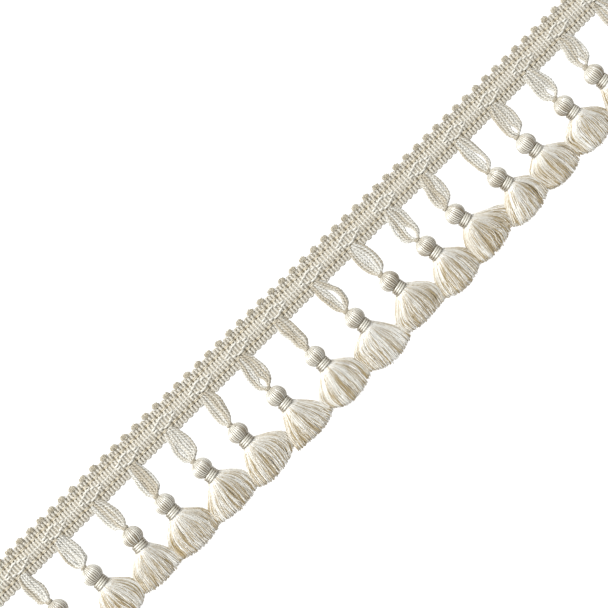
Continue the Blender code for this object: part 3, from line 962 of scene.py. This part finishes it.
def make_ties(finish):
    skein = Skein()
    for index in range(COUNT):
        turn = np.linspace(0, TIE_TURNS * math.tau, TIE_POINTS) + rng.uniform(0, 6)
        along = -(BALL_TOP + TIE_UP) + TIE_HALF_LONG * np.linspace(-1, 1, TIE_POINTS)
        wound = points_of(np.cos(turn) * TIE_WIDE, np.sin(turn) * TIE_TALL, along)
        skein.add(from_head(index, wound), TIE_RADIUS, round_section(6), tint=0.85, light=-0.10)
        for side in (-1, 1):
            angle = np.radians(np.linspace(FORK_FROM, FORK_TO, FORK_POINTS))
            swing = side * np.radians(rng.uniform(14, 26) + np.linspace(0, 6, FORK_POINTS))
            fork = FORK_OUT * points_of(np.sin(swing) * np.sin(angle),
                                        np.cos(swing) * np.sin(angle),
                                        -np.cos(angle) * FORK_FLAT)
            skein.add(from_head(index, fork), FORK_RADIUS, round_section(5), tint=0.8,
                      light=-0.05)
    names = [f"loop_{index + 1:02d}" for index in range(COUNT)]
    finish_piece(skein.mesh("loop_ties"), finish, names)


make_ties(loop_rayon)


# Ball heads. A small turned mould is covered with silky floss laid close from pole to neck,
# so that its surface is all fine meridian lines with a bright sheen.

FLOSS_LINES = 30
# Across one laid thread, with its groove third: how deep it lies, how warm and how light. The
# groove's warmth and darkness are painted shade.
FLOSS_ACROSS = ((0.00, 0.0, 0.05), (0.04, 0.1, 0.0), (0.26, 2.4, -1.5), (0.04, 0.1, 0.0))
FLOSS_DEPTH, FLOSS_PAINTED_SHADE_WARMTH, FLOSS_LIGHT = np.array(FLOSS_ACROSS).T
FLOSS_PARTS = len(FLOSS_ACROSS)
GROOVE_PART = 2
BALL_SEGMENTS = FLOSS_LINES * FLOSS_PARTS
BALL_RINGS = 22
# The mould's outline along its axis from the pole to the neck, as (place, radius).
BALL_LINE = ((-4.40, 0.05), (-4.30, 1.10), (-3.90, 2.25), (-3.15, 3.30), (-2.10, 4.10),
             (-1.00, 4.48), (0.0, 4.58), (0.9, 4.45), (1.7, 4.10), (2.4, 3.60), (2.85, 3.15),
             (3.2, 2.65), (3.6, 2.55), (4.6, 2.55), (5.6, 2.55), (6.4, 2.55), (6.9, 2.30),
             (7.2, 1.40), (7.35, 0.05))
# Along the axis, where the ball's bright crown ends and painted shade begins, and how far on from
# there the painted shade is full.
CROWN_END = -1.6
CROWN_FADE = 2.6
# How much painted shade darkens and warms the ball at the neck, how much more on its right there,
# and how much on its crown's right side.
NECK_PAINTED_SHADE, NECK_RIGHT_PAINTED_SHADE, CROWN_RIGHT_PAINTED_SHADE = 0.70, 0.10, 0.06
# How much the painted shade warms the ball.
PAINTED_SHADE_WARMTH = 0.38
# The floss's pale colour, the warm colour that both its tint and its painted shade go to, and the
# dark brown of its painted shade.
FLOSS_PALE = (0.60, 0.583, 0.51)
FLOSS_WARM_AND_SHADE = (0.21, 0.155, 0.075)
FLOSS_PAINTED_SHADE = (0.08, 0.055, 0.025)
FLOSS_CLOUDS = 500.0


def head_matrix(index):
    """From a ball's own axes into the frame, in metres."""
    return (Matrix.Translation(placed(head_middle(index)))
            @ Matrix(head_axes(index).tolist()).to_4x4())


def model_ball():
    """The covered ball and its neck on the Z axis, modelled once."""
    places = np.array(BALL_LINE)[:, 0]
    bpy.ops.mesh.primitive_uv_sphere_add(segments=BALL_SEGMENTS, ring_count=BALL_RINGS,
                                         radius=MM)
    ball = bpy.context.object
    x, y, z = vertices_of(ball.data).T / MM
    # The sphere's rings go to the outline's places, closer together where it bends.
    angle = np.arccos(np.clip(z, -1, 1)) / math.pi
    along = np.interp(1 - angle, np.linspace(0, 1, len(places)), places)
    turn = np.round(np.arctan2(y, x) / math.tau * BALL_SEGMENTS).astype(int) % BALL_SEGMENTS
    part = turn % FLOSS_PARTS
    radius = drawn(BALL_LINE, along)
    radius = radius - FLOSS_DEPTH[part] * np.clip(radius / 3, 0, 1)
    out = np.hypot(x, y)
    wider = np.where(out > 1e-6, radius / np.maximum(out, 1e-6), 0.0)
    move_vertices(ball.data, np.stack([x * wider, y * wider, along], -1) * MM)
    # Each groove is a crease, so that every laid thread is shaded round by itself.
    for edge in ball.data.edges:
        first, second = edge.vertices
        edge.use_edge_sharp = bool(part[first] == GROOVE_PART and turn[first] == turn[second])
    return ball, turn, along


def copy_of(pattern, name):
    """A copy of a piece that is modelled once, with a mesh of its own."""
    piece = pattern.copy()
    piece.data = pattern.data.copy()
    piece.name = name
    bpy.context.collection.objects.link(piece)
    return piece


def floss_finish():
    """Silky floss in ivory, each laid thread a little lighter or warmer than the next."""
    floss = Finish(bpy.data.materials.new("ball_floss"))
    cloud = floss.cloud(FLOSS_CLOUDS)
    tint = floss.within(floss.attribute("tint") + (cloud - 0.5) * 0.35)
    colour = floss.blend(tint, FLOSS_PALE, FLOSS_WARM_AND_SHADE)
    # The light attribute dims the colour towards a dark brown: painted shade in the grooves,
    # deeper towards the neck.
    dim = floss.within(0.0 - floss.attribute("light"))
    colour = floss.blend(dim, colour, FLOSS_PAINTED_SHADE)
    floss.join(floss.shader, {
        "Base Color": colour, "Roughness": 0.34, "Sheen Weight": 0.1, "Sheen Roughness": 0.3,
        "Specular IOR Level": 0.9, "IOR": 1.7, "Normal": floss.bump(cloud, 0.2, 0.1 * MM)})
    return floss.owner


def make_balls():
    pattern, turn, along = model_ball()
    finish = floss_finish()
    # The ball is painted darker and warmer towards the neck and on its right: painted shade.
    towards_neck = np.clip((along - CROWN_END) / CROWN_FADE, 0, 1)
    right = 0.5 + 0.5 * np.cos(turn / BALL_SEGMENTS * math.tau)
    painted_shade = towards_neck * (NECK_PAINTED_SHADE + NECK_RIGHT_PAINTED_SHADE * right)
    painted_shade = painted_shade + CROWN_RIGHT_PAINTED_SHADE * right * (1 - towards_neck)
    line = (turn + 1) // FLOSS_PARTS % FLOSS_LINES
    part = turn % FLOSS_PARTS
    for index in range(COUNT):
        ball = copy_of(pattern, f"ball_{index + 1:02d}")
        ball.data.transform(head_matrix(index))
        own = np.clip(rng.normal(0.03, 0.42, FLOSS_LINES), -0.3, 0.9)[line]
        depth = np.clip(rng.normal(0.9, 0.25, FLOSS_LINES), 0.3, 1.4)[line]
        tints = (own * (0.5 + 0.5 * painted_shade) + PAINTED_SHADE_WARMTH * painted_shade
                 + FLOSS_PAINTED_SHADE_WARMTH[part] * depth * (0.35 + 0.65 * painted_shade))
        give_values(ball.data, "tint", tints)
        give_values(ball.data, "light", FLOSS_LIGHT[part] * depth * (0.20 + 0.80 * painted_shade))
        ball.data.shade_smooth()
        finish_piece(ball, finish, [f"tassel_{index + 1:02d}"])
    bpy.data.objects.remove(pattern)


make_balls()


# Neck bindings. Shiny thread is wound in four tight, even turns round the neck below the ball,
# and holds the floss of the ball and the top of the skirt.

WINDING_TURNS = 4
WINDING_FROM = 2.60
WINDING_TO = 6.45
WINDING_RADIUS = 2.98
WINDING_FLARE = 0.05
WINDING_STEPS = 36
WINDING_SIDES = 10
WINDING_PITCH = (WINDING_TO - WINDING_FROM) / WINDING_TURNS
# The thread's pale colour, and the dark warm colour of its tint and of its painted shade.
WINDING_PALE = (0.59, 0.565, 0.475)
WINDING_WARM_AND_SHADE = (0.17, 0.13, 0.065)
WINDING_CLOUDS = 700.0
# How much painted shade darkens and warms the thread in its grooves, and at the neck's two sides,
# from so far out.
GROOVE_PAINTED_SHADE = 2.6
SIDE_PAINTED_SHADE = 0.95
SIDE_FROM = 1.5
SIDE_FADE = 1.3


def model_winding():
    """One thread wound round the Z axis, modelled once: a small ring swept by a screw."""
    half = WINDING_PITCH / 2
    bpy.ops.mesh.primitive_circle_add(
        vertices=WINDING_SIDES, radius=half * MM, rotation=(math.pi / 2, 0.0, 0.0),
        location=(WINDING_RADIUS * MM, 0.0, (WINDING_FROM + half) * MM))
    winding = bpy.context.object
    bpy.ops.object.transform_apply(location=True, rotation=True, scale=True)
    screw = winding.modifiers.new("wind", "SCREW")
    screw.axis = "Z"
    screw.steps = screw.render_steps = WINDING_STEPS
    screw.iterations = WINDING_TURNS - 1
    screw.screw_offset = WINDING_PITCH * MM
    bpy.ops.object.modifier_apply(modifier=screw.name)
    bpy.ops.object.mode_set(mode="EDIT")
    bpy.ops.mesh.select_all(action="SELECT")
    bpy.ops.mesh.fill_holes(sides=0)
    bpy.ops.mesh.normals_make_consistent(inside=False)
    bpy.ops.object.mode_set(mode="OBJECT")
    bpy.ops.object.shade_smooth()
    # The neck is a little wider where the skirt begins, and each turn is painted darker and warmer
    # in its groove: painted shade.
    places = vertices_of(winding.data)
    out = np.hypot(places[:, 0], places[:, 1]) / MM
    depth = np.clip((WINDING_RADIUS + half - out) / WINDING_PITCH, 0, 1)
    share = (places[:, 2] / MM - WINDING_FROM) / (WINDING_TO - WINDING_FROM)
    places[:, :2] *= 1 + WINDING_FLARE * share[:, None]
    move_vertices(winding.data, places)
    return winding, depth ** 1.5 * GROOVE_PAINTED_SHADE


def winding_finish():
    thread = Finish(bpy.data.materials.new("winding_thread"))
    cloud = thread.cloud(WINDING_CLOUDS)
    tint = thread.within(thread.attribute("tint") + (cloud - 0.5) * 0.4)
    thread.join(thread.shader, {
        "Base Color": thread.blend(tint, WINDING_PALE, WINDING_WARM_AND_SHADE), "Roughness": 0.42,
        "Sheen Weight": 0.1, "Specular IOR Level": 1.0, "IOR": 1.9,
        "Normal": thread.bump(cloud, 0.25, 0.08 * MM)})
    return thread.owner


def make_windings():
    # The tint the pattern comes with is painted shade in the grooves between the turns.
    pattern, warmth = model_winding()
    finish = winding_finish()
    for index in range(COUNT):
        winding = copy_of(pattern, f"neck_winding_{index + 1:02d}")
        winding.data.transform(Matrix.Rotation(-math.pi / 2 + rng.uniform(-0.6, 0.6), 4, "Z"))
        # The neck's two sides, as seen from above, are painted darker and warmer: painted shade.
        aside = np.abs(vertices_of(winding.data)[:, 0]) / MM
        beside = np.clip((aside - SIDE_FROM) / SIDE_FADE, 0, 1)
        give_values(winding.data, "tint", warmth + SIDE_PAINTED_SHADE * beside)
        winding.data.transform(head_matrix(index))
        finish_piece(winding, finish, [f"binding_{index + 1:02d}"])
    bpy.data.objects.remove(pattern)


make_windings()


# Skirts. About three hundred soft rayon threads hang from under each neck binding. They lie on
# the table fanned out, in loose locks, and their cut ends make an even curve at the hem.

# Each skirt's outline to the left and the right of its even place, at two lines across and at
# its corners, then its lowest place and how warm its floss is.
SKIRT_COLUMNS = ("left_high", "left_low", "left_x", "left_y", "right_high", "right_low",
                 "right_x", "right_y", "low_x", "low_y", "warmth")
SKIRTS = [dict(zip(SKIRT_COLUMNS, row)) for row in (
    (-7.0, -9.2, -9.5, -45.5, 7.3, 9.7, 10.2, -44.5, 0.0, -47.6, 0.0),
    (-7.2, -9.5, -9.8, -45.0, 7.8, 10.4, 11.0, -44.0, 0.0, -47.5, 0.0),
    (-7.6, -9.4, -9.6, -44.8, 8.6, 9.8, 8.4, -44.9, 1.0, -47.4, 0.0),
    (-10.4, -12.3, -13.0, -44.7, 6.0, 7.9, 8.2, -45.8, -2.0, -46.8, 0.0),
    (-11.5, -13.8, -13.6, -45.7, 6.7, 8.5, 8.2, -46.0, -2.5, -48.0, 0.03),
    (-9.3, -13.7, -14.2, -45.8, 7.4, 9.0, 8.6, -46.2, -2.5, -48.1, 0.0),
    (-9.3, -12.0, -12.6, -47.3, 8.2, 10.9, 9.2, -45.6, -4.5, -49.1, 0.06),
    (-7.6, -10.5, -11.8, -48.2, 5.0, 8.8, 10.7, -46.0, 0.0, -49.0, 0.02),
    (-8.6, -11.8, -10.9, -45.4, 8.6, 10.9, 11.0, -46.7, -1.5, -49.7, 0.04),
    (-9.0, -10.3, -9.9, -46.3, 7.8, 11.2, 12.1, -48.0, 1.0, -50.1, -0.14),
    (-5.5, -10.2, -9.4, -45.9, 11.2, 14.1, 12.9, -46.7, 2.0, -47.8, -0.08),
    (-4.4, -7.3, -8.2, -47.2, 10.4, 13.5, 14.1, -45.6, 2.0, -49.8, 0.07),
    (-7.2, -8.5, -8.4, -47.3, 13.6, 17.2, 16.5, -42.2, -2.0, -48.5, 0.14),
    (-4.3, -7.5, -9.1, -46.1, 10.7, 13.5, 13.9, -45.0, -0.5, -48.8, 0.03),
    (-9.8, -9.3, -7.2, -46.4, 9.5, 12.4, 12.6, -44.2, 0.5, -48.0, 0.05),
    (-10.4, -9.8, -8.8, -45.3, 10.0, 12.1, 12.2, -42.5, 0.0, -47.5, 0.04),
    (-7.6, -9.4, -9.0, -44.5, 8.8, 11.2, 11.6, -43.8, 0.0, -48.1, 0.04),
    (-7.2, -9.2, -9.4, -44.8, 7.0, 8.9, 9.2, -44.2, 0.0, -47.9, 0.0),
)]
HIGH_LINE = -35.5
LOW_LINE = -41.0
ROOT_AT = 5.9
ROOT_RADIUS = 3.1
HEM_ARC = 2.2
LOCKS = 22
LOCKS_HALF = 0.97
THREAD_RADIUS = 0.18
STREAKS = 6
STREAK_HALF = 0.045
STREAK_WARMTH = 0.7
PATCH_WARMTH = 0.07
# How much warmer and darker a thread is painted towards the hem: painted shade.
HEM_PAINTED_SHADE = 0.16
# How much of its tint a thread has at the neck; down the skirt the tint grows, as painted shade
# towards the hem.
PAINTED_SHADE_ROOT_TINT = 0.35
# By a draw from 0 to 1 a thread is golden brown, beige or ivory: where the first two end, and
# the tint of each of the three.
GOLDEN_ENDS, BEIGE_ENDS = 0.24, 0.45
GOLDEN, BEIGE, IVORY = 0.82, 0.30, -0.14
# The threads at a skirt's two sides are painted a little warmer and darker, most so on its left:
# painted shade near the table.
RIM_FROM = 0.75
RIM_LEFT_PAINTED_SHADE, RIM_RIGHT_PAINTED_SHADE = 0.18, 0.06
# How unevenly threads are cut, how they spread and wave, and how their locks sway, as shares
# of the skirt's length and half width, and how high threads ripple and locks rise.
CUT_UNEVEN = 0.016
THREAD_SPREAD = 0.045
THREAD_WAVE = 0.034
LOCK_SWAY = 0.008
PHASE_A_SWAY = 150
THREAD_RIPPLE = 0.12
LOCK_RISE = 0.06
# Height of the skirt along it, as (share of its length, crown, side, lowest).
SKIRT_HEIGHTS = ((0.0, 7.25, 4.3, 1.0), (0.10, 7.55, 4.1, 0.55), (0.22, 7.0, 3.2, 0.30),
                 (0.40, 5.6, 2.3, 0.12), (0.60, 4.2, 1.5, 0.0), (0.80, 2.8, 1.0, 0.0),
                 (1.0, 1.3, 0.6, 0.0))
# Layers from the inside out: how many threads, points a thread, least and most drop under the
# crown, share of the thread's radius, warmth, how loosely they lie and how far down they reach.
LAYER_COLUMNS = ("threads", "points", "least", "most", "size", "warmth", "loose", "reach")
LAYERS = [dict(zip(LAYER_COLUMNS, row)) for row in (
    (46, 6, 0.8, 4.0, 2.7, 0.40, 0.2, 0.95),
    (80, 8, 0.30, 0.45, 1.80, 0.40, 0.6, 0.98),
    (170, 11, -0.12, 0.18, 0.95, 0.0, 1.0, 1.0),
)]


def skirt_places(index, share, side):
    """Places in plan, share of the way down the skirt, side from -1 at its left to 1."""
    row = SKIRTS[index]
    axes = head_axes(index)
    root_x, root_y, _ = head_middle(index) + axes[:, 2] * ROOT_AT
    half_x, half_y, _ = axes[:, 0] * ROOT_RADIUS
    within = np.clip(share, 0.0, 1.0)
    edges = []
    for name, sign in (("left", -1), ("right", 1)):
        top_y, corner_y = root_y + half_y * sign, row[name + "_y"]
        line = [(0.0, root_x + half_x * sign)]
        for place, across in (("high", HIGH_LINE), ("low", LOW_LINE), ("x", corner_y)):
            line.append(((across - top_y) / (corner_y - top_y),
                         HOMES[index] + row[f"{name}_{place}"]))
        edges.append(drawn(line, within))
    edge = np.where(side < 0, edges[0], edges[1])
    middle = root_x + (HOMES[index] + row["low_x"] - root_x) * within
    corner_y = np.where(side < 0, row["left_y"], row["right_y"])
    end_y = row["low_y"] + (corner_y - row["low_y"]) * np.abs(side) ** HEM_ARC
    start_y = root_y + half_y * side
    return middle + (edge - middle) * np.abs(side), start_y + (end_y - start_y) * share


def skirt_height(share, side, drop):
    """Height at a place, a drop in millimetres under the skirt's crown."""
    read = drawn(SKIRT_HEIGHTS, np.clip(share, 0.0, 1.0))
    crown = read[..., 1] + (read[..., 0] - read[..., 1]) * (1 - side ** 2)
    return np.maximum(crown - drop * (0.35 + 0.65 * np.minimum(share, 1.0)), read[..., 2])


class Fan:
    """What all the layers of one skirt share: its locks, golden streaks and broad patches."""

    def __init__(self):
        self.middles = np.linspace(-LOCKS_HALF, LOCKS_HALF, LOCKS) + rng.normal(0, 0.03, LOCKS)
        self.tints = np.clip(rng.normal(0.02, 0.07, LOCKS), -0.1, 0.3)
        self.sway, phase, _ = rng.normal(0, LOCK_SWAY, (LOCKS, 3)).T
        # The phase of a lock's waves is drawn as small as its sway, and so is made larger.
        self.phase = phase * PHASE_A_SWAY
        self.golden = rng.uniform(-0.9, 0.9, STREAKS)
        self.patches = rng.uniform(0, math.tau, 3)

    def lock_of(self, side):
        return np.abs(side[:, None] - self.middles).argmin(1)

    def thread_tints(self, side, kind, base):
        """A tint for each thread, by its own kind and by where in the skirt it lies."""
        gold = np.abs(side[:, None] - self.golden).min(1) < STREAK_HALF
        streak = rng.random(len(side)) < np.where(gold, 0.5, 0.0)
        own = np.select([kind < GOLDEN_ENDS, kind < BEIGE_ENDS], [GOLDEN, BEIGE], IVORY)
        tint = self.tints[self.lock_of(side)] + rng.uniform(-0.05, 0.10, len(side)) + base
        patch = np.sin(side * 5 + self.patches[0]) + np.sin(side * 11 + self.patches[1])
        # Threads near the two sides get painted shade.
        painted_rim_shade = np.clip((np.abs(side) - RIM_FROM) / (1 - RIM_FROM), 0, 1)
        painted_rim_shade = painted_rim_shade * np.where(side < 0, RIM_LEFT_PAINTED_SHADE, RIM_RIGHT_PAINTED_SHADE)
        return tint + own + STREAK_WARMTH * streak + PATCH_WARMTH * patch + painted_rim_shade


def add_layer(skein, index, fan, layer):
    """Lays one layer of a skirt's threads."""
    one = (layer["threads"], 1)
    side = np.clip(rng.uniform(-1.05, 1.05, layer["threads"]), -1, 1)
    kind = rng.random(layer["threads"])
    lock = fan.lock_of(side)
    share = np.linspace(0.0, layer["reach"], layer["points"])
    share = share * (1 + rng.normal(0, CUT_UNEVEN, one))
    spread = rng.normal(0, THREAD_SPREAD, one)
    phase = rng.uniform(0, math.tau, one)
    wave = rng.normal(0, THREAD_WAVE, one) * np.sin(share * rng.uniform(4, 11, one) + phase)
    sway = fan.sway[lock, None] * np.sin(share * 5 + fan.phase[lock, None])
    sides = side[:, None] + layer["loose"] * (spread + wave + sway) * share
    x, y = skirt_places(index, share, sides)
    drop = rng.uniform(layer["least"], layer["most"], one)
    drop = drop + THREAD_RIPPLE * layer["loose"] * np.sin(share * 9 + phase)
    # A lock is highest along its middle.
    ridge = np.cos(np.clip((side - fan.middles[lock]) * LOCKS, -1.2, 1.2) * math.pi / 2)
    drop = drop + LOCK_RISE * (1 - ridge[:, None]) * np.minimum(share * 2, 1)
    least = THREAD_RADIUS * layer["size"] * 1.25
    height = np.maximum(skirt_height(share, sides, drop), least)
    tint = fan.thread_tints(side, kind, layer["warmth"] + SKIRTS[index]["warmth"])[:, None]
    # Threads are painted paler near the neck and darker and warmer towards the hem: painted shade.
    tint = tint * (PAINTED_SHADE_ROOT_TINT + (1 - PAINTED_SHADE_ROOT_TINT) * np.minimum(share * 1.8, 1))
    light = rng.normal(0.02, 0.06, one)
    thick = THREAD_RADIUS * layer["size"] * rng.uniform(0.75, 1.2, one)
    skein.add(points_of(x, y, height), thick, round_section(4), turns=rng.uniform(0, 6, one),
              tint=tint + HEM_PAINTED_SHADE * share, light=light)


def make_skirts():
    finish = yarn_finish("skirt_floss", pale=(0.89, 0.88, 0.825), warm=(0.43, 0.335, 0.18),
                         shade=0.04, fibres=2, roughness=0.42, sheen=0.3)
    for index in range(COUNT):
        fan = Fan()
        skein = Skein()
        for layer in LAYERS:
            add_layer(skein, index, fan, layer)
        skirt = skein.mesh(f"skirt_{index + 1:02d}")
        finish_piece(skirt, finish, [f"tassel_{index + 1:02d}"])


make_skirts()
